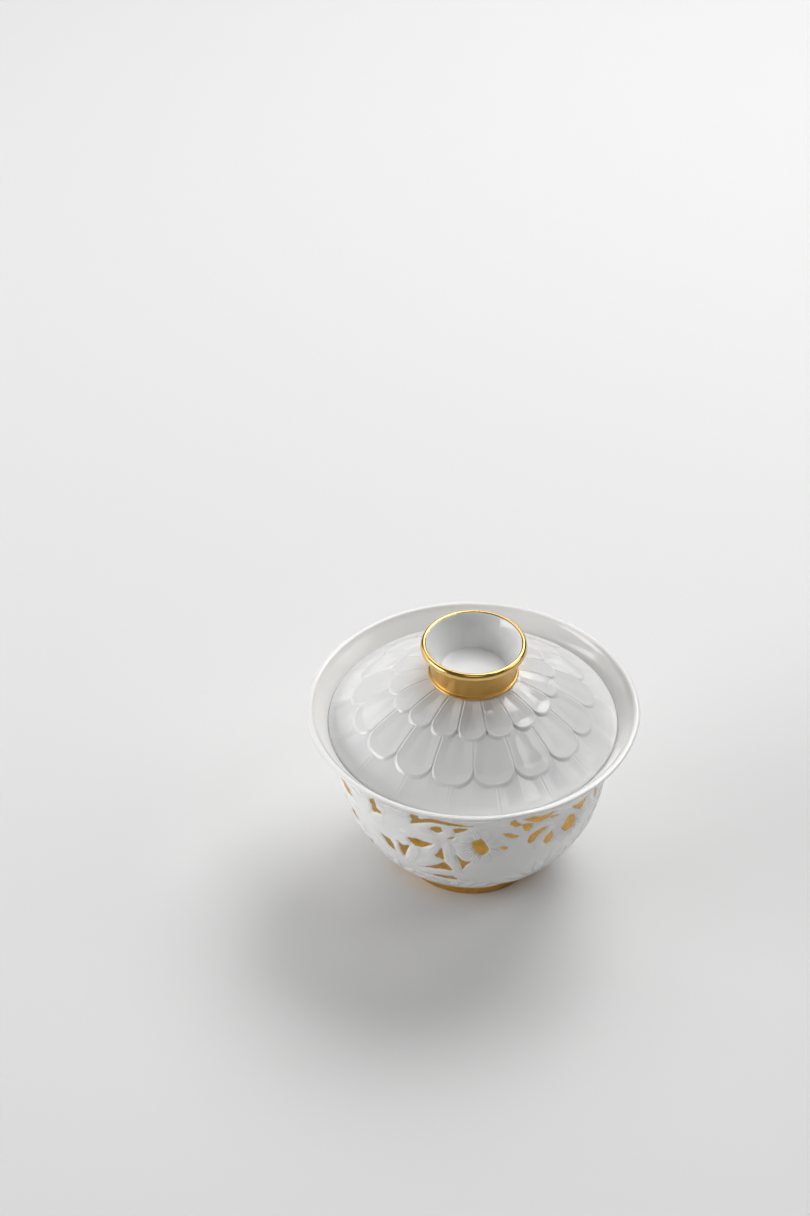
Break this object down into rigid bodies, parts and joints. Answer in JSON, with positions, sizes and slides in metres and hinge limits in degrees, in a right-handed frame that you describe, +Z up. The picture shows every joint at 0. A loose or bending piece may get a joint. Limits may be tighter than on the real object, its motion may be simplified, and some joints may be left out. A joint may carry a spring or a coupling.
{
  "type": "lidded tea bowl",
  "caption": "Round porcelain tea bowl with an everted rim and a gilded foot ring, and a petalled lid with a ring knob that rests inside the rim.",
  "frame": {"origin": "centre of the foot ring's underside, on the surface that the bowl stands on", "axes": "+Z up along the bowl's turning axis, towards the lid's knob; -Y is the side that the picture shows"},
  "size_m": [0.105, 0.105, 0.087],
  "materials": {
    "porcelain_bowl": "glossy white glaze, moulded leaf relief with a gilded ground, gilded foot ring",
    "porcelain_lid": "glossy white glaze, moulded petals, gilded ring knob with a polished bead"
  },
  "bodies": {
    "root": {"bowl": "porcelain_bowl", "lid": "porcelain_lid"}
  },
  "joints": []
}
